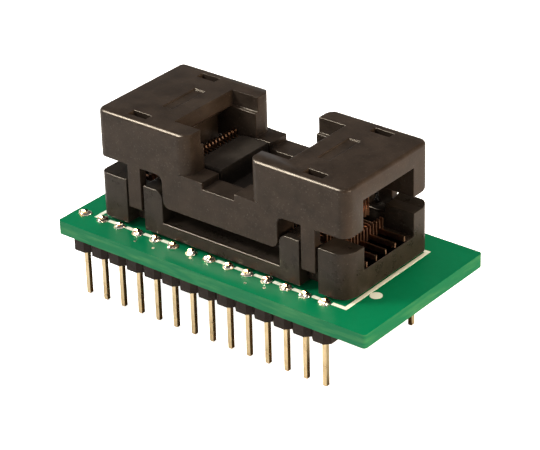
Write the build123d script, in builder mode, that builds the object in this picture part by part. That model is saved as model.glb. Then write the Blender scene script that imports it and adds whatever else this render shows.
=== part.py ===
from build123d import *
from math import cos, radians, sin
import os

# A chip adapter: a narrow circuit board on two rows of header pins, which plug into
# a wide 28-way socket, and on top of it an open-top test socket for a flat chip with
# leads at both ends. Pressing the socket's cover down swings the contact arms open.
#
# Millimetres, +Z up. The origin is the middle of the pin pattern, in the plane of the
# pin tips that the part stands on. X runs along the pin rows, Y across them.

os.makedirs("parts", exist_ok=True)

# Header pins and the strips that carry them
pin_pitch = 2.54
pins_per_row = 14
row_spacing = 15.24
pin_width = 0.5
pin_reach = 5.84
pin_stub = 0.55
pin_tip_chamfer = 0.12
strip_height = 2.54
strip_width = 2.54
strip_notch = 0.6

# Circuit board
board_thickness = 1.6
board_width = 20.95
board_tongue = 5.88
board_margin = 0.14
board_corner_radius = 0.4
header_hole_diameter = 0.9
tail_hole_diameter = 0.75

# Solder joints round the header pins and round the contact tails
solder_clearance = 0.02
joint_foot_radius = 0.66
joint_neck_radius = 0.42
joint_height = 0.4
joint_hollow = 0.35
tail_joint_foot_radius = 0.52
tail_joint_neck_radius = 0.3
tail_joint_height = 0.6

# White print on the board
print_thickness = 0.04
print_line = 0.46
print_margin_left = 0.86
print_margin_right = 0.08
print_margin_front = 0.35
print_margin_rear = 0.2
print_pad_gap = 0.04
print_open_gaps = (5, 6)
dot_radius = 0.68
dot_gap = 0.06
dot_offset = 3.4

# The chip that the socket takes
chip_body_length = 11.8
chip_body_width = 8.0
lead_reach = 0.8
lead_pitch = 0.55
leads_per_side = 14

# Socket, outside
socket_x = 2.39
socket_length = 33.35
socket_row_gap = 0.42
cover_travel = 1.85

# Socket base
base_inset = 0.06
base_standoff = 0.5
rail_height = 1.55
bed_height = 2.6
post_height = 5.3
base_corner_radius = 0.9
index_corner_radius = 2.0
bed_side_gap = 0.2
post_inner_gap = 0.15
rear_rim_width = 1.1
rear_rim_rise = 0.4
inner_post_length = 2.6
ledge_thickness = 1.2
foot_diameter = 1.5
foot_inset = 1.6

# Socket cover
cover_corner_radius = 1.1
cover_rear_left_radius = 0.7
cover_edge_radius = 0.4
plate_thickness = 2.16
window_end_gap = 0.9
window_chamfer = 0.4
chip_side_clearance = 0.35
lead_in_width = 0.45
lead_in_depth = 1.76
cover_rise = 4.47
skirt_half_length = 7.75
skirt_corner_radius = 0.9
notch_corner_radius = 0.8
leg_width = 1.8
leg_thickness = 1.0
leg_tip_chamfer = 0.3
hook_height = 0.9
hook_core_gap = 0.22
core_wall = 0.4
core_side_gap = 0.32
saddle_half = 4.1
saddle_corner_radius = 1.3
saddle_drop = 0.2
finger_dip_half = 2.15
finger_dip_drop = 0.95
panel_length = 5.4
panel_width = 1.4
panel_depth = 0.15
panel_inset = 2.1

# Clearances of the moving cover
press_clearance = 0.11
skirt_clearance = 0.15
leg_floor_clearance = 0.35
leg_side_clearance = 0.3
hook_clearance = 0.1
cam_clearance = 0.12

# Chip seat
seat_height = 5.75
seat_end_gap = 0.1
trough_depth = 2.35
pad_corner_radius = 0.9
pad_edge_radius = 0.18
comb_drop = 0.25
comb_end_gap = 0.1
peg_diameter = 1.4
peg_clearance = 0.05
peg_place = 3.6

# Contacts, stamped from thin strip, standing in planes across the lead rows
contact_thickness = 0.2
lane_clearance = 0.03
bar_depth = 0.85
bar_rise = 0.6
bar_end_gap = 0.1
lead_rest_width = 0.45
lead_rest_drop = 0.05
outer_upright_width = 0.4
outer_upright_height = 1.0
tail_row_pitch = 2.54
shoulder_edge = 0.15
shoulder_reach = 0.92
shoulder_radius = 0.25
upright_reach = 2.45
tail_width = 0.4
tail_reach = 1.2
tail_clearance = 0.05

# Contact arms, each turning in a rounded cup on its contact
pivot_reach = 1.9
pivot_rise = 1.5
knuckle_radius = 0.42
knuckle_clearance = 0.04
cup_stem_width = 1.0
cup_drop = 0.3
arm_swing = 8.0
lead_grip = 0.4
nose_gap = 0.14
nose_depth = 0.05
nose_back = 0.36
nose_back_rise = 0.08
head_height = 0.5
head_width = 0.4
head_slope = 0.35
throat_width = 0.63
knuckle_cover = 0.9
lever_reach = 2.65
lever_width = 0.44
lever_depth = 0.5
lever_sink = 0.15
lever_chamfer = 0.1
lever_rise = 3.3
cam_width = 1.35
cam_overlap = 0.5

# Heights, from the pin tips up
board_bottom = pin_reach + strip_height
board_top = board_bottom + board_thickness
base_bottom = board_top + base_standoff
rail_top = base_bottom + rail_height
bed_top = base_bottom + bed_height
post_top = base_bottom + post_height
cover_bottom = post_top + cover_travel + press_clearance
skirt_bottom = rail_top + cover_travel + skirt_clearance
leg_bottom = base_bottom + cover_travel + leg_floor_clearance
hook_top = leg_bottom + hook_height
ledge_bottom = hook_top + hook_clearance
ledge_top = ledge_bottom + ledge_thickness
seat_top = bed_top + seat_height
saddle_top = seat_top - saddle_drop
finger_dip_top = seat_top - finger_dip_drop
cover_top = seat_top + cover_rise
plate_bottom = cover_top - plate_thickness
bar_top = bed_top + bar_rise
bar_bottom = bar_top - bar_depth
lead_rest_top = seat_top - lead_rest_drop
pivot_height = bed_top + pivot_rise
lever_top = pivot_height + lever_rise

# Half widths across the socket, from its middle line
socket_half_width = row_spacing / 2 - socket_row_gap
base_half_width = socket_half_width - base_inset
tunnel_half = chip_body_width / 2 + chip_side_clearance
lead_in_half = tunnel_half + lead_in_width
bed_half = tunnel_half - bed_side_gap
post_inner = tunnel_half + post_inner_gap
leg_inner = socket_half_width - leg_thickness
core_inner = lead_in_half + core_wall
hook_inner = core_inner + hook_core_gap

# Places along the socket, from its middle towards either end
base_half_length = socket_length / 2 - base_inset
lead_tip = chip_body_length / 2 + lead_reach
window_half = lead_tip + window_end_gap
inner_post_start = skirt_half_length + skirt_clearance
leg_slot_start = inner_post_start + inner_post_length
leg_slot_length = leg_width + 2 * leg_side_clearance
leg_place = leg_slot_start + leg_slot_length / 2
corner_post_start = leg_slot_start + leg_slot_length
seat_half_length = chip_body_length / 2 - seat_end_gap
lead_rest_place = lead_tip - lead_rest_width / 2 - comb_end_gap
pivot_place = lead_tip + pivot_reach
lever_place = pivot_place + lever_reach
shoulder_place = base_half_length - shoulder_edge
outer_tail_place = shoulder_place - shoulder_reach
outer_upright_place = outer_tail_place - upright_reach

strip_length = pins_per_row * pin_pitch
board_length = board_margin + strip_length + board_tongue
lane_width = contact_thickness + 2 * lane_clearance
pin_places = [(index - (pins_per_row - 1) / 2) * pin_pitch for index in range(pins_per_row)]
contact_places = [
    (index - (leads_per_side - 1) / 2) * lead_pitch for index in range(leads_per_side)
]
# The tails stand in three rows, the outer, the middle and the inner one in turn, and
# only the bars with a tail in the outer row reach past the uprights
tail_places = [
    outer_tail_place - tail_row_pitch * (index % 3) for index in range(leads_per_side)
]
bar_ends = [
    shoulder_place if index % 3 == 0 else outer_upright_place + outer_upright_width / 2
    for index in range(leads_per_side)
]


def box_face(left, right, bottom, top, mode=Mode.ADD):
    """Adds a rectangle between two X and two Y values to the open sketch."""
    with Locations(((left + right) / 2, (bottom + top) / 2)):
        Rectangle(abs(right - left), abs(top - bottom), mode=mode)


# Circuit board
with BuildPart() as circuit_board:
    with BuildSketch(Plane.XY.offset(board_bottom)):
        with Locations(((board_tongue - board_margin) / 2, 0)):
            RectangleRounded(board_length, board_width, board_corner_radius)
        with GridLocations(pin_pitch, row_spacing, pins_per_row, 2):
            Circle(header_hole_diameter / 2, mode=Mode.SUBTRACT)
        for side in (-1, 1):
            for place, tail in zip(contact_places, tail_places):
                with Locations((socket_x + side * tail, place)):
                    Circle(tail_hole_diameter / 2, mode=Mode.SUBTRACT)
    extrude(amount=board_thickness)
circuit_board.part.label = "circuit_board"
export_step(circuit_board.part, "parts/circuit_board.step")

# White outline of the socket on the board, broken where the pads lie
print_left = socket_x - socket_length / 2 - print_margin_left
print_right = socket_x + socket_length / 2 + print_margin_right
print_front = -socket_half_width - print_margin_front
print_rear = socket_half_width + print_margin_rear
pad_square = 2 * (joint_foot_radius + print_pad_gap)
with BuildPart() as board_outline_print:
    with BuildSketch(Plane.XY.offset(board_top)):
        box_face(print_left, print_right, print_front, print_rear)
        box_face(
            print_left + print_line,
            print_right - print_line,
            print_front + print_line,
            print_rear - print_line,
            mode=Mode.SUBTRACT,
        )
        with GridLocations(pin_pitch, row_spacing, pins_per_row, 2):
            Rectangle(pad_square, pad_square, mode=Mode.SUBTRACT)
        for index in print_open_gaps:
            with Locations((pin_places[index] + pin_pitch / 2, print_front)):
                Rectangle(pin_pitch, 3 * print_line, mode=Mode.SUBTRACT)
    extrude(amount=print_thickness)
board_outline_print.part.label = "board_outline_print"
export_step(board_outline_print.part, "parts/board_outline_print.step")

# White dot beside the outline, at the first pin's end
with BuildPart() as pin_one_dot:
    with BuildSketch(Plane.XY.offset(board_top)):
        with Locations((print_right + dot_gap + dot_radius, -dot_offset)):
            Circle(dot_radius)
    extrude(amount=print_thickness)
pin_one_dot.part.label = "pin_one_dot"
export_step(pin_one_dot.part, "parts/pin_one_dot.step")

for row, side in (("front", -1), ("rear", 1)):
    row_y = side * row_spacing / 2

    # Header strip: a row of square cells with cut corners, so that it can be snapped
    with BuildPart() as header_strip:
        with BuildSketch(Plane.XY.offset(pin_reach)):
            with Locations((0, row_y)):
                Rectangle(strip_length, strip_width)
            with Locations((0, row_y)):
                with GridLocations(pin_pitch, strip_width, pins_per_row + 1, 2):
                    Rectangle(
                        strip_notch * 2**0.5,
                        strip_notch * 2**0.5,
                        rotation=45,
                        mode=Mode.SUBTRACT,
                    )
                with GridLocations(pin_pitch, 1, pins_per_row, 1):
                    Rectangle(pin_width, pin_width, mode=Mode.SUBTRACT)
        extrude(amount=strip_height)
    header_strip.part.label = f"{row}_header_strip"
    export_step(header_strip.part, f"parts/{row}_header_strip.step")

    # Header pins: square, with blunted ends, from the tips to just above the joints
    for index, place in enumerate(pin_places):
        with BuildPart() as header_pin:
            with BuildSketch(Plane.XY):
                with Locations((place, row_y)):
                    Rectangle(pin_width, pin_width)
            extrude(amount=board_top + pin_stub)
            pin_ends = header_pin.faces().sort_by(Axis.Z)
            chamfer(pin_ends[0].edges() + pin_ends[-1].edges(), pin_tip_chamfer)
        header_pin.part.label = f"{row}_pin_{index + 1:02d}"
        export_step(header_pin.part, f"parts/{row}_pin_{index + 1:02d}.step")

    # Solder joints: a barrel in the board's hole and a hollow-sided cone on top of it
    barrel_radius = header_hole_diameter / 2 - solder_clearance
    joint_skirt = joint_foot_radius - joint_neck_radius
    with BuildPart() as solder_joints:
        for place in pin_places:
            with BuildSketch(Plane.XZ.offset(-row_y)):
                with BuildLine():
                    Polyline(
                        (place, board_top + joint_height),
                        (place, board_bottom),
                        (place + barrel_radius, board_bottom),
                        (place + barrel_radius, board_top),
                        (place + joint_foot_radius, board_top),
                    )
                    ThreePointArc(
                        (place + joint_foot_radius, board_top),
                        (
                            place + joint_neck_radius + joint_hollow * joint_skirt,
                            board_top + joint_hollow * joint_height,
                        ),
                        (place + joint_neck_radius, board_top + joint_height),
                    )
                    Line(
                        (place + joint_neck_radius, board_top + joint_height),
                        (place, board_top + joint_height),
                    )
                make_face()
            revolve(axis=Axis((place, row_y, 0), (0, 0, 1)))
        with BuildSketch(Plane.XY.offset(board_bottom)):
            with Locations((0, row_y)):
                with GridLocations(pin_pitch, 1, pins_per_row, 1):
                    Rectangle(pin_width, pin_width)
        extrude(amount=board_thickness + joint_height, mode=Mode.SUBTRACT)
    solder_joints.part.label = f"{row}_solder_joints"
    export_step(solder_joints.part, f"parts/{row}_solder_joints.step")

# Socket base: a plate on four feet, a bed for the contacts, and eight posts
with BuildPart() as socket_base:
    with BuildSketch(Plane.XY.offset(base_bottom)) as base_plan:
        with Locations((socket_x, 0)):
            Rectangle(2 * base_half_length, 2 * base_half_width)
        base_corners = base_plan.vertices().sort_by(Axis((0, 0, 0), (1, -1, 0)))
        fillet(base_corners[:-1], base_corner_radius)
        index_corner = base_plan.vertices().sort_by(Axis((0, 0, 0), (1, -1, 0)))[-1]
        fillet(index_corner, index_corner_radius)
    extrude(amount=post_height + rear_rim_rise)
    # The rear corner posts slope up to a rim, and all the others are flat
    with BuildSketch(Plane.YZ.offset(socket_x)):
        with BuildLine():
            Polyline(
                (-socket_half_width, post_top),
                (base_half_width - rear_rim_width, post_top),
                (base_half_width, post_top + rear_rim_rise),
                (base_half_width, post_top + 2 * rear_rim_rise),
                (-socket_half_width, post_top + 2 * rear_rim_rise),
                close=True,
            )
        make_face()
    extrude(amount=socket_length, both=True, mode=Mode.SUBTRACT)
    with BuildSketch(Plane.XY.offset(post_top)):
        with Locations((socket_x, 0)):
            Rectangle(2 * corner_post_start, 2 * socket_half_width)
    extrude(amount=2 * rear_rim_rise, mode=Mode.SUBTRACT)
    # The low walls and the bed in the middle, and the channel between the posts
    with BuildSketch(Plane.XY.offset(rail_top)):
        with Locations((socket_x, 0)):
            Rectangle(2 * inner_post_start, 2 * socket_half_width)
    extrude(amount=post_height, mode=Mode.SUBTRACT)
    with BuildSketch(Plane.XY.offset(rail_top)):
        with Locations((socket_x, 0)):
            Rectangle(2 * inner_post_start, 2 * bed_half)
    extrude(amount=bed_top - rail_top)
    with BuildSketch(Plane.XY.offset(bed_top)):
        with Locations((socket_x, 0)):
            Rectangle(2 * corner_post_start, 2 * post_inner)
        box_face(
            socket_x - socket_length / 2, socket_x + socket_length / 2, -bed_half, post_inner
        )
    extrude(amount=post_height, mode=Mode.SUBTRACT)
    with BuildSketch(Plane.XY.offset(ledge_top)):
        with Locations((socket_x - leg_place, 0), (socket_x + leg_place, 0)):
            Rectangle(leg_slot_length, 2 * socket_half_width)
    extrude(amount=post_height, mode=Mode.SUBTRACT)
    for side in (-1, 1):
        with BuildSketch(Plane.XY.offset(base_bottom)):
            for end in (-1, 1):
                box_face(
                    socket_x + end * (leg_place - leg_slot_length / 2),
                    socket_x + end * (leg_place + leg_slot_length / 2),
                    side * (hook_inner - hook_clearance),
                    side * socket_half_width,
                )
        extrude(amount=ledge_bottom - base_bottom, mode=Mode.SUBTRACT)
        with BuildSketch(Plane.XY.offset(base_bottom)):
            for end in (-1, 1):
                box_face(
                    socket_x + end * (leg_place - leg_slot_length / 2),
                    socket_x + end * (leg_place + leg_slot_length / 2),
                    side * (leg_inner - hook_clearance),
                    side * socket_half_width,
                )
        extrude(amount=post_height, mode=Mode.SUBTRACT)
    # The inner posts' shoulders pass under the rounded notches of the cover
    shoulders = (
        socket_base.edges()
        .filter_by(Axis.Y)
        .filter_by_position(Axis.Z, post_top - 0.01, post_top + 0.01)
        .sort_by_distance((socket_x, 0, post_top))
    )
    fillet(shoulders[:4], notch_corner_radius + press_clearance)
    # Lanes for the contacts, with a slot through the plate for each tail
    with BuildSketch(Plane.XY.offset(bar_bottom)):
        for end in (-1, 1):
            for place, bar_end in zip(contact_places, bar_ends):
                box_face(
                    socket_x + end * (seat_half_length + bar_end_gap - tail_clearance),
                    socket_x + end * (bar_end + tail_clearance),
                    place - lane_width / 2,
                    place + lane_width / 2,
                )
    extrude(amount=bed_height, mode=Mode.SUBTRACT)
    with BuildSketch(Plane.XY.offset(base_bottom)):
        for end in (-1, 1):
            for place, tail in zip(contact_places, tail_places):
                with Locations((socket_x + end * tail, place)):
                    Rectangle(tail_width + 2 * tail_clearance, lane_width)
    extrude(amount=bed_height, mode=Mode.SUBTRACT)
    # Holes for the seat's pegs
    with Locations(
        (socket_x - peg_place, 0, bed_top),
        (socket_x + peg_place, 0, bed_top),
    ):
        Hole(peg_diameter / 2 + peg_clearance)
    # Feet on the board
    with BuildSketch(Plane.XY.offset(board_top)):
        with Locations((socket_x, 0)):
            with GridLocations(
                2 * (base_half_length - foot_inset), 2 * (base_half_width - foot_inset), 2, 2
            ):
                Circle(foot_diameter / 2)
    extrude(amount=base_standoff)
socket_base.part.label = "socket_base"
export_step(socket_base.part, "parts/socket_base.step")

# Chip seat: two pads with a trough between them, and combs that space the contacts
with BuildPart() as chip_seat:
    with BuildSketch(Plane.XY.offset(bed_top)):
        with Locations((socket_x, 0)):
            RectangleRounded(2 * seat_half_length, chip_body_width, pad_corner_radius)
    extrude(amount=seat_height)
    pad_rims = chip_seat.faces().filter_by(Axis.Z).sort_by(Axis.Z)[-1].edges()
    fillet(pad_rims, pad_edge_radius)
    with BuildSketch(Plane.XY.offset(bed_top)):
        with Locations((socket_x, 0)):
            Rectangle(2 * lead_tip, chip_body_width)
    extrude(amount=seat_height - comb_drop)
    with BuildSketch(Plane.XY.offset(seat_top - trough_depth)):
        with Locations((socket_x, 0)):
            Rectangle(2 * finger_dip_half, 2 * chip_body_width)
    extrude(amount=seat_height, mode=Mode.SUBTRACT)
    with BuildSketch(Plane.XY.offset(bed_top)):
        for end in (-1, 1):
            for place in contact_places:
                box_face(
                    socket_x + end * seat_half_length,
                    socket_x + end * (lead_tip + comb_end_gap),
                    place - lane_width / 2,
                    place + lane_width / 2,
                )
    extrude(amount=2 * seat_height, mode=Mode.SUBTRACT)
    with BuildSketch(Plane.XY.offset(base_bottom)):
        with Locations((socket_x - peg_place, 0), (socket_x + peg_place, 0)):
            Circle(peg_diameter / 2)
    extrude(amount=bed_height)
chip_seat.part.label = "chip_seat"
export_step(chip_seat.part, "parts/chip_seat.step")


def swung(place, height, turn):
    """Where a point of a contact arm comes to lie once the arm has opened by an angle."""
    across = place - pivot_place
    up = height - pivot_height
    return (
        pivot_place + across * cos(radians(turn)) + up * sin(radians(turn)),
        pivot_height - across * sin(radians(turn)) + up * cos(radians(turn)),
    )


# The cam's slope keeps the lever's tip just off it over the whole travel
lever_inner = lever_place - lever_width / 2
tip_open, height_open = swung(lever_inner, lever_top, arm_swing)
cam_high = (tip_open - cam_clearance, height_open + cover_travel)
cam_low_height = lever_top - cam_overlap
cam_slope = (tip_open - lever_inner) / (height_open + cover_travel - lever_top)
cam_low = (lever_inner - cam_clearance - cam_slope * cam_overlap, cam_low_height)
cam_inner = cam_low[0] - cam_width

# Socket cover
with BuildPart() as socket_cover:
    with BuildSketch(Plane.XY.offset(cover_bottom)) as cover_plan:
        with Locations((socket_x, 0)):
            Rectangle(socket_length, 2 * socket_half_width)
        cover_corners = cover_plan.vertices().sort_by(Axis((0, 0, 0), (-1, 1, 0)))
        fillet(cover_corners[:-1], cover_corner_radius)
        rear_left = cover_plan.vertices().sort_by(Axis((0, 0, 0), (-1, 1, 0)))[-1]
        fillet(rear_left, cover_rear_left_radius)
    extrude(amount=cover_top - cover_bottom)
    fillet(
        socket_cover.faces().filter_by(Axis.Z).sort_by(Axis.Z)[-1].edges(), cover_edge_radius
    )
    # Tunnel from end to end, and the opening for the chip with its lead-in
    with BuildSketch(Plane.XY.offset(cover_bottom)):
        with Locations((socket_x, 0)):
            Rectangle(2 * socket_length, 2 * tunnel_half)
    extrude(amount=plate_bottom - cover_bottom, mode=Mode.SUBTRACT)
    with BuildSketch(Plane.XY.offset(plate_bottom)):
        with Locations((socket_x, 0)):
            Rectangle(2 * window_half, 2 * tunnel_half)
    extrude(amount=plate_thickness, mode=Mode.SUBTRACT)
    with BuildSketch(Plane.XY.offset(cover_top - lead_in_depth)):
        with Locations((socket_x, 0)):
            Rectangle(2 * window_half, 2 * lead_in_half)
    extrude(amount=lead_in_depth, mode=Mode.SUBTRACT)
    plate_edges = (
        socket_cover.edges()
        .filter_by(Axis.Y)
        .filter_by_position(Axis.Z, plate_bottom - 0.01, plate_bottom + 0.01)
        .sort_by_distance((socket_x, 0, plate_bottom))
    )
    chamfer(plate_edges[:2], window_chamfer)
    # Skirt along the middle, in front and behind
    for side in (-1, 1):
        with BuildSketch(Plane.XZ.offset(side * tunnel_half)):
            box_face(
                socket_x - skirt_half_length,
                socket_x + skirt_half_length,
                skirt_bottom,
                cover_bottom,
            )
        extrude(amount=side * (socket_half_width - tunnel_half))
    skirt_sides = [socket_x - skirt_half_length, socket_x + skirt_half_length]
    skirt_edges = socket_cover.edges().filter_by(Axis.Y)
    fillet(
        skirt_edges.filter_by_position(Axis.Z, skirt_bottom - 0.01, skirt_bottom + 0.01),
        skirt_corner_radius,
    )
    notch_edges = (
        socket_cover.edges()
        .filter_by(Axis.Y)
        .filter_by_position(Axis.Z, cover_bottom - 0.01, cover_bottom + 0.01)
    )
    fillet(
        notch_edges.filter_by_position(Axis.X, skirt_sides[0] - 0.01, skirt_sides[0] + 0.01)
        + notch_edges.filter_by_position(Axis.X, skirt_sides[1] - 0.01, skirt_sides[1] + 0.01),
        notch_corner_radius,
    )
    # The rear edge clears the rims of the rear corner posts
    rear_slope = rear_rim_rise / rear_rim_width
    for end in (-1, 1):
        with BuildSketch(
            Plane.YZ.offset(socket_x + end * (corner_post_start - leg_side_clearance / 2))
        ):
            with BuildLine():
                Polyline(
                    (base_half_width - rear_rim_width, cover_bottom),
                    (
                        base_half_width + rear_rim_width,
                        cover_bottom + 2 * rear_slope * rear_rim_width,
                    ),
                    (base_half_width + rear_rim_width, cover_bottom),
                    close=True,
                )
            make_face()
        extrude(amount=end * socket_length / 2, mode=Mode.SUBTRACT)
    # Saddle, with rounded corners in plan, and a finger dip in the middle of it
    arc_middle = saddle_corner_radius * (1 - cos(radians(45)))
    arc_end = saddle_half + saddle_corner_radius
    arc_start = socket_half_width - saddle_corner_radius
    with BuildSketch(Plane.XY.offset(saddle_top)):
        for side in (-1, 1):
            with BuildLine():
                ThreePointArc(
                    (socket_x - arc_end, side * socket_half_width),
                    (
                        socket_x - saddle_half - arc_middle,
                        side * (socket_half_width - arc_middle),
                    ),
                    (socket_x - saddle_half, side * arc_start),
                )
                Polyline(
                    (socket_x - saddle_half, side * arc_start),
                    (socket_x - saddle_half, 0),
                    (socket_x + saddle_half, 0),
                    (socket_x + saddle_half, side * arc_start),
                )
                ThreePointArc(
                    (socket_x + saddle_half, side * arc_start),
                    (
                        socket_x + saddle_half + arc_middle,
                        side * (socket_half_width - arc_middle),
                    ),
                    (socket_x + arc_end, side * socket_half_width),
                )
                Polyline(
                    (socket_x + arc_end, side * socket_half_width),
                    (socket_x + arc_end, side * 2 * socket_half_width),
                    (socket_x - arc_end, side * 2 * socket_half_width),
                    (socket_x - arc_end, side * socket_half_width),
                )
            make_face()
    extrude(amount=2 * cover_rise, mode=Mode.SUBTRACT)
    with BuildSketch(Plane.XY.offset(finger_dip_top)):
        with Locations((socket_x, 0)):
            Rectangle(2 * finger_dip_half, 3 * socket_half_width)
    extrude(amount=2 * cover_rise, mode=Mode.SUBTRACT)
    # Legs with hooks, and the openings above the hooks
    for side in (-1, 1):
        for end in (-1, 1):
            with BuildSketch(Plane.YZ.offset(socket_x + end * leg_place)):
                with BuildLine():
                    Polyline(
                        (side * socket_half_width, cover_bottom),
                        (side * socket_half_width, leg_bottom),
                        (side * (hook_inner + leg_tip_chamfer), leg_bottom),
                        (side * hook_inner, leg_bottom + leg_tip_chamfer),
                        (side * hook_inner, hook_top),
                        (side * leg_inner, hook_top),
                        (side * leg_inner, cover_bottom),
                        close=True,
                    )
                make_face()
            extrude(amount=leg_width / 2, both=True)
    with BuildSketch(Plane.XY.offset(cover_bottom)):
        for side in (-1, 1):
            for end in (-1, 1):
                box_face(
                    socket_x + end * (leg_place - leg_width / 2 - core_side_gap),
                    socket_x + end * (leg_place + leg_width / 2 + core_side_gap),
                    side * core_inner,
                    side * leg_inner,
                )
    extrude(amount=2 * cover_rise, mode=Mode.SUBTRACT)
    # Cams under the two plates
    for end in (-1, 1):
        with BuildSketch(Plane.XZ):
            with BuildLine():
                Polyline(
                    (socket_x + end * cam_inner, plate_bottom),
                    (socket_x + end * cam_inner, cam_low[1]),
                    (socket_x + end * cam_low[0], cam_low[1]),
                    (socket_x + end * cam_high[0], cam_high[1]),
                    (socket_x + end * cam_high[0], plate_bottom),
                    close=True,
                )
            make_face()
        extrude(amount=tunnel_half, both=True)
    # Shallow panels on top
    with BuildSketch(Plane.XY.offset(cover_top)):
        for end in (-1, 1):
            with Locations((socket_x + end * (window_half + panel_inset + panel_width / 2), 0)):
                Rectangle(panel_width, panel_length)
    extrude(amount=-panel_depth, mode=Mode.SUBTRACT)
socket_cover.part.label = "socket_cover"
export_step(socket_cover.part, "parts/socket_cover.step")

barrel_radius = tail_hole_diameter / 2 - solder_clearance
for name, side in (("left", -1), ("right", 1)):
    # Contacts: a bar in its lane, the lead's rest, the arm's cup, an upright and a tail
    with BuildPart() as contact_bases:
        for place, tail, bar_end in zip(contact_places, tail_places, bar_ends):
            with BuildSketch(Plane.XZ.offset(-place)) as strip_plan:
                box_face(
                    socket_x + side * (seat_half_length + bar_end_gap),
                    socket_x + side * bar_end,
                    bar_bottom,
                    bar_top,
                )
                box_face(
                    socket_x + side * (lead_rest_place - lead_rest_width / 2),
                    socket_x + side * (lead_rest_place + lead_rest_width / 2),
                    bar_bottom,
                    lead_rest_top,
                )
                box_face(
                    socket_x + side * (pivot_place - cup_stem_width / 2),
                    socket_x + side * (pivot_place + cup_stem_width / 2),
                    bar_bottom,
                    pivot_height - cup_drop,
                )
                box_face(
                    socket_x + side * (outer_upright_place - outer_upright_width / 2),
                    socket_x + side * (outer_upright_place + outer_upright_width / 2),
                    bar_bottom,
                    bar_top + outer_upright_height,
                )
                box_face(
                    socket_x + side * (tail - tail_width / 2),
                    socket_x + side * (tail + tail_width / 2),
                    board_bottom - tail_reach,
                    bar_top,
                )
                with Locations((socket_x + side * pivot_place, pivot_height)):
                    Circle(knuckle_radius + knuckle_clearance, mode=Mode.SUBTRACT)
                if bar_end == shoulder_place:
                    shoulder = (socket_x + side * shoulder_place, place, bar_top)
                    fillet(strip_plan.vertices().sort_by_distance(shoulder)[0], shoulder_radius)
            extrude(amount=contact_thickness / 2, both=True)
    contact_bases.part.label = f"{name}_contact_bases"
    export_step(contact_bases.part, f"parts/{name}_contact_bases.step")

    # Arms: a knuckle in the cup, a finger up to the nose, and a lever that the cam pushes
    nose = lead_tip - lead_grip
    nose_height = lead_rest_top + nose_gap
    finger_root = knuckle_cover * knuckle_radius
    lever_outer = lever_place + lever_width / 2
    lever_bottom = pivot_height - lever_sink
    with BuildPart() as contact_arms:
        for place in contact_places:
            with BuildSketch(Plane.XZ.offset(-place)):
                finger = [
                    (nose, nose_height),
                    (nose - nose_depth, nose_height + head_height / 2),
                    (nose + nose_depth, nose_height + head_height),
                    (nose + head_width, nose_height + head_height),
                    (nose + head_width + head_slope, nose_height),
                    (pivot_place + finger_root, pivot_height),
                    (pivot_place - finger_root, pivot_height),
                    (nose + throat_width, nose_height - head_height / 2),
                    (nose + nose_back, nose_height + nose_back_rise),
                ]
                lever = [
                    (pivot_place, lever_bottom),
                    (lever_outer, lever_bottom),
                    (lever_outer, lever_top - lever_chamfer),
                    (lever_outer - lever_chamfer, lever_top),
                    (lever_inner, lever_top),
                    (lever_inner, lever_bottom + lever_depth),
                    (pivot_place, lever_bottom + lever_depth),
                ]
                for outline in (finger, lever):
                    with BuildLine():
                        Polyline(
                            *[(socket_x + side * across, up) for across, up in outline],
                            close=True,
                        )
                    make_face()
                with Locations((socket_x + side * pivot_place, pivot_height)):
                    Circle(knuckle_radius)
            extrude(amount=contact_thickness / 2, both=True)
    contact_arms.part.label = f"{name}_contact_arms"
    export_step(contact_arms.part, f"parts/{name}_contact_arms.step")

    # Solder joints of the tails: a barrel in the hole and a cone under the board
    with BuildPart() as tail_joints:
        for place, tail in zip(contact_places, tail_places):
            tail_x = socket_x + side * tail
            with BuildSketch(Plane.XZ.offset(-place)):
                with BuildLine():
                    Polyline(
                        (tail_x, board_bottom - tail_joint_height),
                        (tail_x, board_top),
                        (tail_x + barrel_radius, board_top),
                        (tail_x + barrel_radius, board_bottom),
                        (tail_x + tail_joint_foot_radius, board_bottom),
                        (tail_x + tail_joint_neck_radius, board_bottom - tail_joint_height),
                        close=True,
                    )
                make_face()
            revolve(axis=Axis((tail_x, place, 0), (0, 0, 1)))
            with BuildSketch(Plane.XY.offset(board_bottom - tail_joint_height)):
                with Locations((tail_x, place)):
                    Rectangle(tail_width, contact_thickness)
            extrude(amount=tail_joint_height + board_thickness, mode=Mode.SUBTRACT)
    tail_joints.part.label = f"{name}_tail_joints"
    export_step(tail_joints.part, f"parts/{name}_tail_joints.step")
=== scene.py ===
import math

import bmesh
import bpy
import numpy as np
from bpy.props import FloatProperty, FloatVectorProperty, IntProperty, PointerProperty
from mathutils import Matrix, Vector


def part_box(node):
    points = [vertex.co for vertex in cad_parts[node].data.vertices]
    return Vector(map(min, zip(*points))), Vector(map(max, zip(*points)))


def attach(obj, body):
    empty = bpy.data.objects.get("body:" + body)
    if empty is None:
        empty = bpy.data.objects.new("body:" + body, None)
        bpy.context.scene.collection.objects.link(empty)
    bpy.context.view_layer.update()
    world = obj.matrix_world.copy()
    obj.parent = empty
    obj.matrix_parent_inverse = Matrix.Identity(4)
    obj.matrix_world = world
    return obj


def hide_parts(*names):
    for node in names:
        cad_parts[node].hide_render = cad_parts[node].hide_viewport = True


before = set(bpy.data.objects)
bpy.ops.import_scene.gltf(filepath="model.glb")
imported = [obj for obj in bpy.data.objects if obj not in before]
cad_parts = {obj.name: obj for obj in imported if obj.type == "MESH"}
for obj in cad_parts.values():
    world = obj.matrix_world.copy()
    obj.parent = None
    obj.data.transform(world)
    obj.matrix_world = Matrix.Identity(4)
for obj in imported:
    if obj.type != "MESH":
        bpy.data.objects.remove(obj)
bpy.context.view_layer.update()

bl_info = {
    "name": "Chip Adapter Looks",
    "version": (1, 0, 0),
    "blender": (4, 5, 0),
    "location": "View3D > Sidebar > Adapter",
    "description": "Solder joints, board details and finishes of a chip adapter",
    "category": "Object",
}

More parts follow.
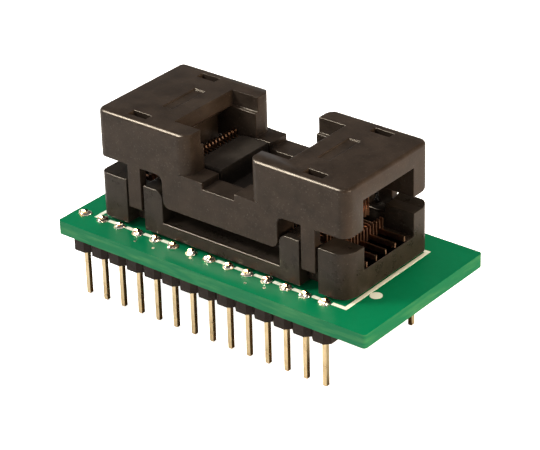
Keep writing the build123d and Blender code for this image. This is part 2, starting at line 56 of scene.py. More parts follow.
MM = 0.001
BOARD_BOTTOM, BOARD_TOP = (corner.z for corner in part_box("circuit_board"))


def middle(node):
    """The middle of a node's box: half the sum of its two corners."""
    low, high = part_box(node)
    return (low + high) / 2


# The two pin rows' places across the board, and the pins' places along a row
ROWS = {row: middle(f"{row}_pin_01").y for row in ("front", "rear")}
PIN_X = [middle(f"front_pin_{number:02d}").x for number in range(1, 15)]
# The front row's small plated holes, in millimetres, and how thick and how far off the board
# the rims of pads and holes are
VIAS = [(-7.91, -9.12), (-5.32, -9.16), (-0.70, -8.53), (7.36, -9.25), (9.60, -8.91)]
RIM = 0.03 * MM
LIFT = 0.002 * MM


class BoardSettings(bpy.types.PropertyGroup):
    mask: FloatVectorProperty(
        name="Solder mask", description="Colour of the lacquer on the board",
        subtype="COLOR", size=3, min=0, max=1, default=(0.001, 0.128, 0.050))
    laminate: FloatVectorProperty(
        name="Laminate", description="Colour of the board's sawn glass-fibre edge",
        subtype="COLOR", size=3, min=0, max=1, default=(0.006, 0.130, 0.055))
    ink: FloatVectorProperty(
        name="Ink", description="Colour of the white print",
        subtype="COLOR", size=3, min=0, max=1, default=(0.78, 0.82, 0.70))
    pad_radius: FloatProperty(
        name="Pad radius", description="Radius of the tinned pad round each pin",
        unit="LENGTH", default=0.64 * MM)
    via_radius: FloatProperty(
        name="Via radius", description="Radius of the small plated holes beside the pads",
        unit="LENGTH", default=0.15 * MM)


class SolderSettings(bpy.types.PropertyGroup):
    tin: FloatVectorProperty(
        name="Tin", description="Colour of the solder",
        subtype="COLOR", size=3, min=0, max=1, default=(0.86, 0.83, 0.76))
    height: FloatProperty(
        name="Height", description="Height of a solder joint over the board",
        unit="LENGTH", default=0.47 * MM)
    lump: FloatProperty(
        name="Lumpiness", description="How uneven the hand-made joints are",
        subtype="FACTOR", min=0, max=1, default=0.55)
    seed: IntProperty(name="Seed", description="Chooses the joints' shapes", default=7)


class PlasticSettings(bpy.types.PropertyGroup):
    cover: FloatVectorProperty(
        name="Cover", description="Colour of the pressed cover",
        subtype="COLOR", size=3, min=0, max=1, default=(0.0235, 0.0165, 0.0120))
    base: FloatVectorProperty(
        name="Base", description="Colour of the socket's base",
        subtype="COLOR", size=3, min=0, max=1, default=(0.0190, 0.0150, 0.0115))
    seat: FloatVectorProperty(
        name="Seat", description="Colour of the chip seat inside the socket",
        subtype="COLOR", size=3, min=0, max=1, default=(0.018, 0.0145, 0.0120))
    strip: FloatVectorProperty(
        name="Strips", description="Colour of the pin strips",
        subtype="COLOR", size=3, min=0, max=1, default=(0.011, 0.006, 0.0045))
    edge: FloatProperty(
        name="Edge radius", description="How far the moulded edges are rounded off",
        unit="LENGTH", default=0.07 * MM)


class MetalSettings(bpy.types.PropertyGroup):
    pin: FloatVectorProperty(
        name="Pins", description="Colour of the gold flash on the pins",
        subtype="COLOR", size=3, min=0, max=1, default=(0.60, 0.49, 0.31))
    clipped: FloatVectorProperty(
        name="Clipped ends", description="Colour of the pins' clipped and stained tops",
        subtype="COLOR", size=3, min=0, max=1, default=(0.26, 0.11, 0.05))
    contact: FloatVectorProperty(
        name="Contacts", description="Colour of the plated contact strips",
        subtype="COLOR", size=3, min=0, max=1, default=(0.27, 0.155, 0.10))


# Node helpers

def node_of(tree, kind, place=(0, 0), **values):
    """Adds a node and sets its attributes and the defaults of its named inputs."""
    node = tree.nodes.new(kind)
    node.location = place
    for key, value in values.items():
        if hasattr(node, key):
            setattr(node, key, value)
        else:
            node.inputs[key.replace("_", " ")].default_value = value
    return node


def math_of(tree, operation, first, second=None, clamp=False):
    """Adds a Math node that works on sockets or plain numbers, and gives its output."""
    node = tree.nodes.new("ShaderNodeMath")
    node.operation = operation
    node.use_clamp = clamp
    for slot, value in enumerate((first, second)):
        if value is None:
            continue
        if isinstance(value, (int, float)):
            node.inputs[slot].default_value = value
        else:
            tree.links.new(value, node.inputs[slot])
    return node.outputs[0]


def mix_of(tree, factor, first, second):
    """Adds a colour Mix node between two colours or sockets, and gives its output."""
    node = tree.nodes.new("ShaderNodeMix")
    node.data_type = "RGBA"
    for slot, value in ((0, factor), (6, first), (7, second)):
        if isinstance(value, (int, float)):
            node.inputs[slot].default_value = value
        elif isinstance(value, bpy.types.NodeSocket):
            tree.links.new(value, node.inputs[slot])
        else:
            node.inputs[slot].default_value = (*value[:3], 1)
    return node.outputs[2]


def noise_of(tree, vector, scale, detail=3.0, rough=0.55):
    """Adds a Noise texture on a vector and gives its value output."""
    node = node_of(tree, "ShaderNodeTexNoise", Scale=scale, Detail=detail, Roughness=rough)
    tree.links.new(vector, node.inputs["Vector"])
    return node.outputs[0]


def group_of(name, inputs, outputs):
    """Starts a shader node group with named sockets and gives it with its two ends."""
    tree = bpy.data.node_groups.new(name, "ShaderNodeTree")
    for label, kind, value in inputs:
        socket = tree.interface.new_socket(label, in_out="INPUT", socket_type=kind)
        if value is not None:
            socket.default_value = value
    for label, kind in outputs:
        tree.interface.new_socket(label, in_out="OUTPUT", socket_type=kind)
    return tree, tree.nodes.new("NodeGroupInput"), tree.nodes.new("NodeGroupOutput")


def moulded_grain():
    """Group: uneven tone, gloss and a fine grain of moulded, glass-filled plastic.

    Tone is the base colour times one plus a slow noise and a fine noise, Gloss is the given
    roughness plus the slow noise, and Height is the sum of two fine noises."""
    tree, given, made = group_of(
        "Moulded grain",
        [("Vector", "NodeSocketVector", None), ("Color", "NodeSocketColor", (0.04, 0.03, 0.025, 1)),
         ("Roughness", "NodeSocketFloat", 0.4), ("Mottle", "NodeSocketFloat", 0.3),
         ("Dust", "NodeSocketFloat", 0.2)],
        [("Color", "NodeSocketColor"), ("Roughness", "NodeSocketFloat"), ("Height", "NodeSocketFloat")])
    vector = given.outputs["Vector"]
    slow = noise_of(tree, vector, 420, 5, 0.68)
    fine = noise_of(tree, vector, 2600, 3, 0.6)
    specks = noise_of(tree, vector, 5200, 2, 0.5)
    tone = math_of(tree, "MULTIPLY", math_of(tree, "SUBTRACT", slow, 0.5), given.outputs["Mottle"])
    tone = math_of(tree, "ADD", tone, 1.0)
    bright = math_of(tree, "SUBTRACT", specks, 0.62, True)
    grey = math_of(tree, "MULTIPLY", math_of(tree, "MULTIPLY", bright, given.outputs["Dust"]), 2.0, True)
    darker = tree.nodes.new("ShaderNodeVectorMath")
    darker.operation = "SCALE"
    tree.links.new(given.outputs["Color"], darker.inputs[0])
    tree.links.new(tone, darker.inputs["Scale"])
    dusty = mix_of(tree, grey, darker.outputs[0], (0.35, 0.31, 0.27))
    tree.links.new(dusty, made.inputs["Color"])
    gloss = math_of(tree, "MULTIPLY", math_of(tree, "SUBTRACT", slow, 0.5), 0.30)
    gloss = math_of(tree, "ADD", given.outputs["Roughness"], gloss, True)
    tree.links.new(gloss, made.inputs["Roughness"])
    fine, specks = math_of(tree, "MULTIPLY", fine, 0.7), math_of(tree, "MULTIPLY", specks, 0.3)
    tree.links.new(math_of(tree, "ADD", fine, specks), made.inputs["Height"])
    return tree


def worn_metal():
    """Group: tone, gloss and tool marks of plated metal.

    Tone mixes the metal towards a duller colour by a cloudy noise, and Height is a noise
    that is stretched along Z like drawn wire."""
    tree, given, made = group_of(
        "Worn metal",
        [("Vector", "NodeSocketVector", None), ("Color", "NodeSocketColor", (0.8, 0.6, 0.3, 1)),
         ("Dull", "NodeSocketColor", (0.4, 0.3, 0.2, 1)), ("Wear", "NodeSocketFloat", 0.4),
         ("Roughness", "NodeSocketFloat", 0.25), ("Scale", "NodeSocketFloat", 900.0)],
        [("Color", "NodeSocketColor"), ("Roughness", "NodeSocketFloat"), ("Height", "NodeSocketFloat")])
    cloudy = node_of(tree, "ShaderNodeTexNoise", Detail=4.0, Roughness=0.6)
    tree.links.new(given.outputs["Vector"], cloudy.inputs["Vector"])
    tree.links.new(given.outputs["Scale"], cloudy.inputs["Scale"])
    patch = math_of(tree, "SUBTRACT", cloudy.outputs[0], 0.42, True)
    patch = math_of(tree, "MULTIPLY", patch, 4.0, True)
    patch = math_of(tree, "MULTIPLY", patch, given.outputs["Wear"])
    tree.links.new(mix_of(tree, patch, given.outputs["Color"], given.outputs["Dull"]), made.inputs["Color"])
    tree.links.new(
        math_of(tree, "ADD", given.outputs["Roughness"], math_of(tree, "MULTIPLY", patch, 0.3), True),
        made.inputs["Roughness"])
    stretch = node_of(tree, "ShaderNodeMapping")
    stretch.inputs["Scale"].default_value = (1, 1, 0.12)
    tree.links.new(given.outputs["Vector"], stretch.inputs["Vector"])
    drawn = noise_of(tree, stretch.outputs[0], 7000, 2, 0.5)
    tree.links.new(drawn, made.inputs["Height"])
    return tree


GROUPS = {}


def shared(name):
    """Gives a shared node group, building it the first time it is asked for."""
    makers = {"Moulded grain": moulded_grain, "Worn metal": worn_metal}
    if name not in GROUPS:
        GROUPS[name] = makers[name]()
    return GROUPS[name]


def blank(name, roughness=0.4, metallic=0.0, specular=0.5, coat=0.0):
    """Starts a material and gives it, its tree, its shader and its Object coordinates."""
    material = bpy.data.materials.new(name)
    material.use_nodes = True
    tree = material.node_tree
    shader = tree.nodes["Principled BSDF"]
    shader.inputs["Roughness"].default_value = roughness
    shader.inputs["Metallic"].default_value = metallic
    shader.inputs["Specular IOR Level"].default_value = specular
    shader.inputs["Coat Weight"].default_value = coat
    where = tree.nodes.new("ShaderNodeTexCoord")
    return material, tree, shader, where.outputs["Object"]


def bump(tree, shader, height, strength, distance):
    """Feeds a height through a Bump node into the shader's Normal."""
    node = node_of(tree, "ShaderNodeBump")
    node.inputs["Strength"].default_value = strength
    node.inputs["Distance"].default_value = distance
    tree.links.new(height, node.inputs["Height"])
    tree.links.new(node.outputs[0], shader.inputs["Normal"])


def plastic(name, colour, roughness, mottle, dust, specular=0.5):
    """Moulded plastic: the shared grain feeds the colour, the gloss and a fine bump."""
    material, tree, shader, where = blank(name, roughness, specular=specular)
    grain = tree.nodes.new("ShaderNodeGroup")
    grain.node_tree = shared("Moulded grain")
    tree.links.new(where, grain.inputs["Vector"])
    grain.inputs["Color"].default_value = (*colour, 1)
    grain.inputs["Roughness"].default_value = roughness
    grain.inputs["Mottle"].default_value = mottle
    grain.inputs["Dust"].default_value = dust
    tree.links.new(grain.outputs["Color"], shader.inputs["Base Color"])
    tree.links.new(grain.outputs["Roughness"], shader.inputs["Roughness"])
    bump(tree, shader, grain.outputs["Height"], 0.25, 0.00004)
    return material


def metal(name, colour, dull, roughness, wear, scale, strength=0.2):
    """Plated metal: the shared wear feeds the colour, the gloss and fine drawn marks."""
    material, tree, shader, where = blank(name, roughness, metallic=1.0)
    worn = tree.nodes.new("ShaderNodeGroup")
    worn.node_tree = shared("Worn metal")
    tree.links.new(where, worn.inputs["Vector"])
    worn.inputs["Color"].default_value = (*colour, 1)
    worn.inputs["Dull"].default_value = (*dull, 1)
    worn.inputs["Wear"].default_value = wear
    worn.inputs["Roughness"].default_value = roughness
    worn.inputs["Scale"].default_value = scale
    tree.links.new(worn.outputs["Color"], shader.inputs["Base Color"])
    tree.links.new(worn.outputs["Roughness"], shader.inputs["Roughness"])
    bump(tree, shader, worn.outputs["Height"], strength, 0.00002)
    return material


def pin_material(settings):
    """Gold flash on the pins, with flux-stained copper on the ends that were clipped.

    The clipped end is what stands more than a little over the board's top."""
    material = metal("Gold flash", settings.pin[:], (0.34, 0.24, 0.12), 0.16, 0.45, 700, 0.06)
    tree = material.node_tree
    shader = tree.nodes["Principled BSDF"]
    place = tree.nodes.new("ShaderNodeSeparateXYZ")
    tree.links.new(tree.nodes["Texture Coordinate"].outputs["Object"], place.inputs[0])
    clipped = math_of(tree, "GREATER_THAN", place.outputs[2], BOARD_TOP + 0.1 * MM)
    flash = shader.inputs["Base Color"].links[0].from_socket
    tree.links.new(mix_of(tree, clipped, flash, settings.clipped[:]), shader.inputs["Base Color"])
    return material


def board_material(settings):
    """Green lacquer on the faces and speckled sawn laminate on the edges.

    The edge mask is one where the normal lies flat, so it follows the outline and holes."""
    material, tree, shader, where = blank("Board lacquer", 0.30, specular=0.10, coat=0.04)
    shader.inputs["Coat Roughness"].default_value = 0.12
    normal = tree.nodes.new("ShaderNodeSeparateXYZ")
    tree.links.new(tree.nodes["Texture Coordinate"].outputs["Normal"], normal.inputs[0])
    flat = math_of(tree, "LESS_THAN", math_of(tree, "ABSOLUTE", normal.outputs[2]), 0.5)
    cloud = noise_of(tree, where, 110, 3, 0.5)
    weave = noise_of(tree, where, 1500, 2, 0.5)
    paler = [1.4 * part for part in settings.mask]
    deep = mix_of(tree, math_of(tree, "MULTIPLY", cloud, 0.8, True), settings.mask[:], paler)
    face = mix_of(tree, math_of(tree, "MULTIPLY", weave, 0.18), deep, (0.006, 0.24, 0.11))
    fibre = node_of(tree, "ShaderNodeMapping")
    fibre.inputs["Scale"].default_value = (0.12, 0.12, 1)
    tree.links.new(where, fibre.inputs["Vector"])
    speck = noise_of(tree, fibre.outputs[0], 1500, 3, 0.6)
    speck = math_of(tree, "MULTIPLY", math_of(tree, "SUBTRACT", speck, 0.46, True), 4.0, True)
    edge = mix_of(tree, speck, settings.laminate[:], (0.035, 0.175, 0.070))
    tree.links.new(mix_of(tree, flat, face, edge), shader.inputs["Base Color"])
    rough = math_of(tree, "ADD", math_of(tree, "MULTIPLY", flat, 0.45), 0.26)
    tree.links.new(rough, shader.inputs["Roughness"])
    coat = math_of(tree, "SUBTRACT", 0.04, math_of(tree, "MULTIPLY", flat, 0.04))
    tree.links.new(coat, shader.inputs["Coat Weight"])
    height = math_of(tree, "ADD", weave, math_of(tree, "MULTIPLY", speck, flat))
    bump(tree, shader, height, 0.18, 0.00003)
    return material


def ink_material(settings):
    """Screen-printed ink: slightly patchy white that thins towards green in specks."""
    material, tree, shader, where = blank("Print ink", 0.55)
    patch = noise_of(tree, where, 2400, 3, 0.6)
    thin = math_of(tree, "MULTIPLY", math_of(tree, "SUBTRACT", patch, 0.60, True), 3.0, True)
    tree.links.new(mix_of(tree, thin, settings.ink[:], (0.30, 0.50, 0.34)), shader.inputs["Base Color"])
    bump(tree, shader, patch, 0.3, 0.00002)
    return material


def solder_material(settings):
    """Bright tin with a wavy, slightly crystalline skin and darker flux in the hollows."""
    material, tree, shader, where = blank("Tin solder", 0.22, metallic=1.0)
    wave = noise_of(tree, where, 1100, 2, 0.5)
    flux = noise_of(tree, where, 1300, 2, 0.5)
    stain = math_of(tree, "MULTIPLY", math_of(tree, "SUBTRACT", flux, 0.56, True), 7.0, True)
    tree.links.new(mix_of(tree, stain, settings.tin[:], (0.34, 0.20, 0.08)), shader.inputs["Base Color"])
    rough = math_of(tree, "ADD", math_of(tree, "MULTIPLY", stain, 0.20), 0.20)
    tree.links.new(rough, shader.inputs["Roughness"])
    bump(tree, shader, wave, 0.3, 0.00006)
    return material


def dress(material, *names):
    """Puts a material in every material slot of the named CAD nodes."""
    for name in names:
        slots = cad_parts[name].data.materials
        if not len(slots):
            slots.append(material)
        for index in range(len(slots)):
            slots[index] = material


# Surfaces

def grid_mesh(name, grids):
    """Makes one mesh from closed surfaces, each a grid of points (rings by places round).

    A grid's columns are joined round, and its first and last rings are closed by fans
    to their middle points, so every surface is shut. Faces run so that they look outward
    where the rings rise and the columns run anticlockwise seen from above."""
    points, faces, start = [], [], 0
    for grid in grids:
        rings, round_ = grid.shape[:2]
        index = np.arange(rings * round_).reshape(rings, round_) + start
        after = np.roll(index, -1, axis=1)
        quads = np.stack((index[:-1], after[:-1], after[1:], index[1:]), axis=-1).reshape(-1, 4)
        low, high = start + rings * round_, start + rings * round_ + 1
        bottom = np.stack((after[0], index[0], np.full(round_, low)), axis=-1)
        top = np.stack((index[-1], after[-1], np.full(round_, high)), axis=-1)
        ends = grid[[0, -1]].mean(1)
        points.append(np.concatenate((grid.reshape(-1, 3), ends)))
        faces += quads.tolist() + bottom.tolist() + top.tolist()
        start += rings * round_ + 2
    mesh = bpy.data.meshes.new(name)
    mesh.from_pydata(np.concatenate(points).tolist(), [], faces)
    mesh.polygons.foreach_set("use_smooth", np.full(len(mesh.polygons), True))
    mesh.update()
    piece = bpy.data.objects.new(name, mesh)
    bpy.context.scene.collection.objects.link(piece)
    return piece


def solder_lump(rng, centre, foot, height, lump):
    """One hand-made joint: a low mound with three swellings round the pin.

    With t from 0 at the foot to 1 at the pin, the mound's radius is the foot times
    1 - 0.6 t^1.6 and its height is the crown times 1 - (1 - t)^1.7. Both are multiplied
    by one plus a bulge, a sum of bell curves of the angle with seeded turns and sizes."""
    share = np.linspace(0, 1, 14)[:, None]
    angle = np.linspace(0, 2 * np.pi, 30, endpoint=False)[None, :]
    turns = rng.uniform(0, 2 * np.pi) + np.array([0, 2.1, 4.2]) + rng.uniform(-0.5, 0.5, 3)
    sizes = rng.uniform(0.25, 1.0, 3)
    off = (angle[..., None] - turns + np.pi) % (2 * np.pi) - np.pi
    bulge = (sizes * np.exp(-((off / 0.60) ** 2))).sum(-1) * lump
    fade = 1 - 0.8 * share**2
    radius = foot * (1 - 0.6 * share**1.6) * (0.84 + bulge * fade)
    rise = height * (1 - (1 - share) ** 1.7) * (0.72 + bulge * fade)
    lean = rng.uniform(-0.05, 0.05, 2) * MM
    return np.stack((
        centre[0] + radius * np.cos(angle) + lean[0] * share,
        centre[1] + radius * np.sin(angle) + lean[1] * share,
        BOARD_TOP + 0.004 * MM + rise), axis=-1)


def flat_ring(centre, inner, outer, low, high, count=32):
    """A washer: a closed loop of four corners carried round the centre."""
    angle = np.linspace(0, 2 * np.pi, count, endpoint=False)
    corners = np.array([(inner, low), (outer, low), (outer, high), (inner, high)])
    radius, height = corners[:, 0][None, :], corners[:, 1][None, :]
    return np.stack((
        centre[0] + radius * np.cos(angle)[:, None], centre[1] + radius * np.sin(angle)[:, None],
        height + 0 * angle[:, None]), axis=-1)


def ring_mesh(name, rings):
    """Makes one mesh from closed tori, each a grid that is joined both ways."""
    points, faces, start = [], [], 0
    for ring in rings:
        around, across = ring.shape[:2]
        index = np.arange(around * across).reshape(around, across) + start
        nxt = np.roll(index, -1, axis=0)
        beside = np.roll(index, -1, axis=1)
        quads = np.stack((index, nxt, np.roll(nxt, -1, axis=1), beside), axis=-1)
        points.append(ring.reshape(-1, 3))
        faces += quads.reshape(-1, 4).tolist()
        start += around * across
    mesh = bpy.data.meshes.new(name)
    mesh.from_pydata(np.concatenate(points).tolist(), [], faces)
    mesh.update()
    piece = bpy.data.objects.new(name, mesh)
    bpy.context.scene.collection.objects.link(piece)
    return piece


def softened(name, width):
    """A merged copy of a CAD node, with its sharp edges rounded by a Bevel modifier.

    The copy's doubled corners are joined and its flat faces made whole, and edges that
    turn by more than 30 degrees are shaded sharp. Those over 40 degrees get the bevel."""
    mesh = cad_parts[name].data.copy()
    work = bmesh.new()
    work.from_mesh(mesh)
    bmesh.ops.remove_doubles(work, verts=work.verts, dist=0.002 * MM)
    bmesh.ops.dissolve_limit(work, angle_limit=math.radians(0.5), verts=work.verts, edges=work.edges)
    work.to_mesh(mesh)
    work.free()
    mesh.polygons.foreach_set("use_smooth", np.full(len(mesh.polygons), True))
    mesh.set_sharp_from_angle(angle=math.radians(30))
    piece = bpy.data.objects.new(name + "_softened", mesh)
    bpy.context.scene.collection.objects.link(piece)
    soft = piece.modifiers.new("Soft edges", "BEVEL")
    soft.width = width
    soft.segments = 2
    soft.limit_method = "ANGLE"
    soft.angle_limit = math.radians(40)
    soft.use_clamp_overlap = False
    soft.harden_normals = True
    return piece


# Operators

class ADAPTER_OT_solder(bpy.types.Operator):
    """Lumpy tin joints round the header pins, one piece a row"""
    bl_idname = "adapter.solder"
    bl_label = "Solder joints"

    def execute(self, context):
        settings = context.scene.adapter_solder
        material = solder_material(settings)
        rng = np.random.default_rng(settings.seed)
        for row, y in ROWS.items():
            foot = 0.66 * MM
            shapes = []
            for x in PIN_X:
                height = settings.height * rng.uniform(0.82, 1.08)
                width = foot * rng.uniform(0.86, 1.0)
                shapes.append(solder_lump(rng, (x, y), width, height, settings.lump))
            piece = grid_mesh(f"{row}_solder_lumps", shapes)
            piece.data.materials.append(material)
            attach(piece, "board_and_base")
            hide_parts(f"{row}_solder_joints")
        dress(material, "left_tail_joints", "right_tail_joints")
        return {"FINISHED"}


class ADAPTER_OT_board(bpy.types.Operator):
    """Lacquer, print and header strips, with tinned pad rims and small plated holes"""
    bl_idname = "adapter.board"
    bl_label = "Board details"

    def execute(self, context):
        settings = context.scene.adapter_board
        dress(board_material(settings), "circuit_board")
        dress(ink_material(settings), "board_outline_print", "pin_one_dot")
        colour = context.scene.adapter_plastic.strip[:]
        strip = plastic("Strip plastic", colour, 0.42, 0.3, 0.12, 0.15)
        dress(strip, "front_header_strip", "rear_header_strip")
        tinned = metal("Tinned copper", (0.80, 0.78, 0.70), (0.55, 0.48, 0.36), 0.25, 0.5, 1200)
        low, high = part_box("front_pin_01")
        pin_width = high.x - low.x
        pads = [
            flat_ring((x, y), pin_width * hole, settings.pad_radius, start, start + RIM - LIFT)
            for hole, start in ((0.6, BOARD_TOP + LIFT), (0.8, BOARD_BOTTOM - RIM))
            for y in ROWS.values() for x in PIN_X]
        hole, rim = settings.via_radius * 0.45, settings.via_radius
        pads += [
            flat_ring((x * MM, y * MM), hole, rim, BOARD_TOP + LIFT, BOARD_TOP + RIM, 20)
            for x, y in VIAS + [(x, -y) for x, y in VIAS[::2]]]
        piece = ring_mesh("board_pads", pads)
        piece.data.materials.append(tinned)
        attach(piece, "board_and_base")
        return {"FINISHED"}


class ADAPTER_OT_plastic(bpy.types.Operator):
    """Finishes of the moulded cover, base and seat"""
    bl_idname = "adapter.plastic"
    bl_label = "Moulded plastic"

    def execute(self, context):
        settings = context.scene.adapter_plastic
        for node, body, slot, colour, roughness in (
            ("socket_cover", "cover", "cover_dark", settings.cover, 0.38),
            ("socket_base", "board_and_base", "socket_dark", settings.base, 0.30),
            ("chip_seat", "board_and_base", "seat_dark", settings.seat, 0.50),
        ):
            piece = softened(node, settings.edge)
            title = node.replace("_", " ").capitalize()
            piece.data.materials.clear()
            piece.data.materials.append(plastic(title, colour[:], roughness, 1.9, 0.30, 0.14))
            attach(piece, body)
            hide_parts(node)
        return {"FINISHED"}


class ADAPTER_OT_metal(bpy.types.Operator):
    """Finishes of the header pins and the socket's contacts"""
    bl_idname = "adapter.metal"
    bl_label = "Pins and contacts"

    def execute(self, context):
        settings = context.scene.adapter_metal
        pins = pin_material(settings)
        dress(pins, *[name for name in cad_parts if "_pin_" in name])
        strips = metal("Plated contact", settings.contact[:], (0.16, 0.09, 0.06), 0.36, 0.6, 1600)
        dress(strips, "left_contact_bases", "right_contact_bases", "left_contact_arms", "right_contact_arms")
        return {"FINISHED"}


class ADAPTER_OT_stage(bpy.types.Operator):
    """Pale floor, soft lights and the camera"""
    bl_idname = "adapter.stage"
    bl_label = "Stage"

    def execute(self, context):
        self.floor()
        self.lights(context)
        self.camera(context)
        return {"FINISHED"}

    def floor(self):
        """A round floor: a disc worked out as rings about the origin, with a painted shade beneath the board
        that only mirrored rays see.
        """
        radius = np.linspace(0.002, 1.6, 24)[:, None]
        angle = np.linspace(0, 2 * np.pi, 64, endpoint=False)[None, :]
        level = 0 * radius * angle - 0.01 * MM
        points = np.stack((radius * np.cos(angle), radius * np.sin(angle), level), axis=-1)
        index = np.arange(level.size).reshape(level.shape)
        after = np.roll(index, -1, axis=1)
        quads = np.stack((index[:-1], index[1:], after[1:], after[:-1]), axis=-1).reshape(-1, 4)
        mesh = bpy.data.meshes.new("floor")
        mesh.from_pydata(points.reshape(-1, 3).tolist(), [], quads.tolist() + [index[0].tolist()])
        mesh.update()
        floor = bpy.data.objects.new("floor", mesh)
        bpy.context.scene.collection.objects.link(floor)
        material, tree, shader, where = blank("Pale floor", 0.9, specular=0.1)
        cloth = noise_of(tree, where, 30, 2, 0.5)
        pale = mix_of(tree, math_of(tree, "MULTIPLY", cloth, 0.1), (0.93, 0.93, 0.93), (0.9, 0.9, 0.9))
        ray = tree.nodes.new("ShaderNodeLightPath")
        # Painted shade: for mirrored rays the floor's colour turns dark brown beneath the board, as if in
        # the board's shadow
        painted_shade_mask = math_of(tree, "MULTIPLY", self.shade(tree, where), ray.outputs["Is Glossy Ray"])
        tree.links.new(mix_of(tree, painted_shade_mask, pale, (0.08, 0.05, 0.03)), shader.inputs["Base Color"])
        seen = math_of(tree, "MAXIMUM", ray.outputs["Is Camera Ray"], ray.outputs["Is Transmission Ray"])
        mirrored = math_of(tree, "MULTIPLY", ray.outputs["Is Glossy Ray"], 0.05)
        shader.inputs["Emission Color"].default_value = (1, 1, 1, 1)
        # Painted shade: the floor's mirrored glow also fades beneath the board
        mirrored = math_of(tree, "MULTIPLY", mirrored, math_of(tree, "SUBTRACT", 1.0, painted_shade_mask))
        strength = math_of(tree, "MAXIMUM", math_of(tree, "MULTIPLY", seen, 0.92), mirrored)
        tree.links.new(strength, shader.inputs["Emission Strength"])
        floor.data.materials.append(material)

    def shade(self, tree, where):
        """How deep a floor point lies in the painted shade beneath the board, which only mirrored rays see.

        It is one within half the row spacing of the middle and falls off over half a
        millimetre across the rows, and over three past the end pins."""
        place = tree.nodes.new("ShaderNodeSeparateXYZ")
        tree.links.new(where, place.inputs[0])
        falls = []
        for axis, reach, soft in ((0, PIN_X[-1], 3 * MM), (1, ROWS["rear"], 0.5 * MM)):
            past = math_of(tree, "SUBTRACT", math_of(tree, "ABSOLUTE", place.outputs[axis]), reach)
            falls.append(math_of(tree, "SUBTRACT", 1.0, math_of(tree, "DIVIDE", past, soft), True))
        return math_of(tree, "MULTIPLY", *falls)

    def lights(self, context):
        """A pale world with a white backdrop, a dim ceiling in mirrors, and five soft lamps.

        The backdrop is white to the camera, and to mirrored rays up to a low height over
        the horizon, from where it fades into the ceiling. The glint is seen in gloss alone,
        and draws the bright lines along the cover's edges."""
        world = bpy.data.worlds.new("Studio")
        world.use_nodes = True
        tree = world.node_tree
        tree.nodes.clear()
        ray = tree.nodes.new("ShaderNodeLightPath")
        look = tree.nodes.new("ShaderNodeSeparateXYZ")
        tree.links.new(tree.nodes.new("ShaderNodeTexCoord").outputs["Generated"], look.inputs[0])
        rise = math_of(tree, "SUBTRACT", look.outputs[2], 0.10)
        low = math_of(tree, "SUBTRACT", 1.0, math_of(tree, "MULTIPLY", rise, 6.0, True), True)
        mirrored = math_of(tree, "MULTIPLY", ray.outputs["Is Glossy Ray"], low)
        seen = math_of(tree, "MAXIMUM", ray.outputs["Is Camera Ray"], ray.outputs["Is Transmission Ray"])
        seen = math_of(tree, "MAXIMUM", seen, mirrored)
        backdrop = node_of(tree, "ShaderNodeBackground", Color=(1, 1, 1, 1), Strength=1.0)
        ambient = node_of(tree, "ShaderNodeBackground", Color=(1.0, 0.96, 0.92, 1))
        less = math_of(tree, "MULTIPLY", ray.outputs["Is Glossy Ray"], 0.20)
        tree.links.new(math_of(tree, "SUBTRACT", 0.28, less), ambient.inputs["Strength"])
        mix = tree.nodes.new("ShaderNodeMixShader")
        out = tree.nodes.new("ShaderNodeOutputWorld")
        tree.links.new(seen, mix.inputs[0])
        tree.links.new(ambient.outputs[0], mix.inputs[1])
        tree.links.new(backdrop.outputs[0], mix.inputs[2])
        tree.links.new(mix.outputs[0], out.inputs[0])
        context.scene.world = world
        aim = Vector((0.003, 0, 0.012))
        for name, place, size, power, colour, mirrored in (
            ("glint", (-0.245, -0.214, 0.315), 0.10, 13.0, (1.0, 0.84, 0.64), True),
            ("key", (-0.231, -0.202, 0.298), 0.09, 1.25, (1.0, 0.94, 0.86), True),
            ("front", (0.02, -0.38, 0.16), 0.30, 0.62, (1.0, 0.95, 0.88), False),
            ("side", (0.36, 0.05, 0.13), 0.16, 2.10, (1.0, 0.78, 0.56), True),
            ("top", (-0.05, 0.05, 0.42), 0.30, 0.85, (1.0, 0.97, 0.94), False),
        ):
            data = bpy.data.lights.new(name, "AREA")
            data.shape = "SQUARE"
            data.size = size
            data.energy = power
            data.color = colour
            lamp = bpy.data.objects.new(name, data)
            lamp.location = place
            lamp.rotation_euler = (aim - Vector(place)).to_track_quat("-Z", "Y").to_euler()
            lamp.visible_glossy = mirrored
            lamp.visible_diffuse = name != "glint"
            context.scene.collection.objects.link(lamp)
        context.scene.view_settings.view_transform = "Standard"

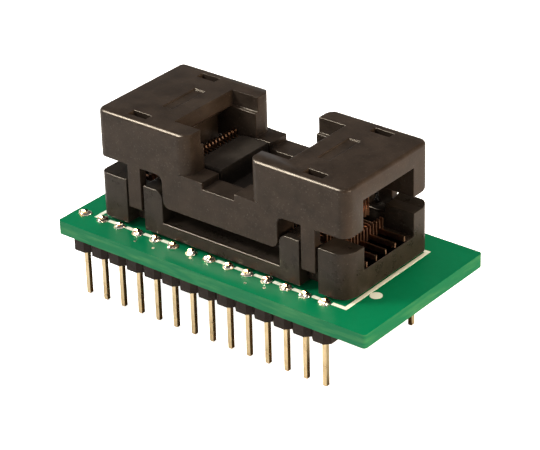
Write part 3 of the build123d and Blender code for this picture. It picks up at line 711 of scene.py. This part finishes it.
    def camera(self, context):
        """The camera stands at a distance from its target along a turn and a height angle.

        Its back axis is (sin a cos e, -cos a cos e, sin e), its side axis is level and
        then both side and up axes are rolled about the back axis."""
        turn, height, roll = (math.radians(angle) for angle in (39.09, 28.421, -1.627))
        flat = math.cos(height)
        back = Vector((math.sin(turn) * flat, -math.cos(turn) * flat, math.sin(height)))
        level = Vector((math.cos(turn), math.sin(turn), 0))
        up = back.cross(level)
        side = math.cos(roll) * level + math.sin(roll) * up
        top = -math.sin(roll) * level + math.cos(roll) * up
        target = Vector((3.394 * MM, 0, BOARD_TOP + 1.528 * MM))
        data = bpy.data.cameras.new("photograph")
        data.sensor_fit = "HORIZONTAL"
        data.sensor_width = 36
        data.lens = 36 * 2354.84 / 540
        data.clip_start = 0.01
        data.clip_end = 20
        camera = bpy.data.objects.new("photograph", data)
        rotation = Matrix((side, top, back)).transposed()
        camera.matrix_world = Matrix.Translation(target + back * 251.799 * MM) @ rotation.to_4x4()
        context.scene.collection.objects.link(camera)
        context.scene.camera = camera


class ADAPTER_PT_panel(bpy.types.Panel):
    """The adapter's pieces and their settings"""
    bl_label = "Chip Adapter"
    bl_idname = "ADAPTER_PT_panel"
    bl_space_type = "VIEW_3D"
    bl_region_type = "UI"
    bl_category = "Adapter"

    def draw(self, context):
        for title, name in GROUP_NAMES.items():
            box = self.layout.box()
            box.label(text=title)
            settings = getattr(context.scene, name)
            for key in settings.__annotations__:
                box.prop(settings, key)
        for operator in OPERATORS:
            self.layout.operator(operator.bl_idname)


GROUP_NAMES = {
    "Board": "adapter_board", "Solder": "adapter_solder",
    "Plastic": "adapter_plastic", "Metal": "adapter_metal",
}
SETTINGS = (BoardSettings, SolderSettings, PlasticSettings, MetalSettings)
OPERATORS = (ADAPTER_OT_stage, ADAPTER_OT_board, ADAPTER_OT_solder, ADAPTER_OT_plastic, ADAPTER_OT_metal)


def register():
    for group in (*SETTINGS, *OPERATORS, ADAPTER_PT_panel):
        bpy.utils.register_class(group)
    for name, group in zip(GROUP_NAMES.values(), SETTINGS):
        setattr(bpy.types.Scene, name, PointerProperty(type=group))


def unregister():
    for name in GROUP_NAMES.values():
        delattr(bpy.types.Scene, name)
    for group in reversed((*SETTINGS, *OPERATORS, ADAPTER_PT_panel)):
        bpy.utils.unregister_class(group)


def main():
    """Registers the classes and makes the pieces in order."""
    register()
    bpy.ops.adapter.stage()
    bpy.ops.adapter.board()
    bpy.ops.adapter.solder()
    bpy.ops.adapter.plastic()
    bpy.ops.adapter.metal()


if __name__ == "__main__":
    main()
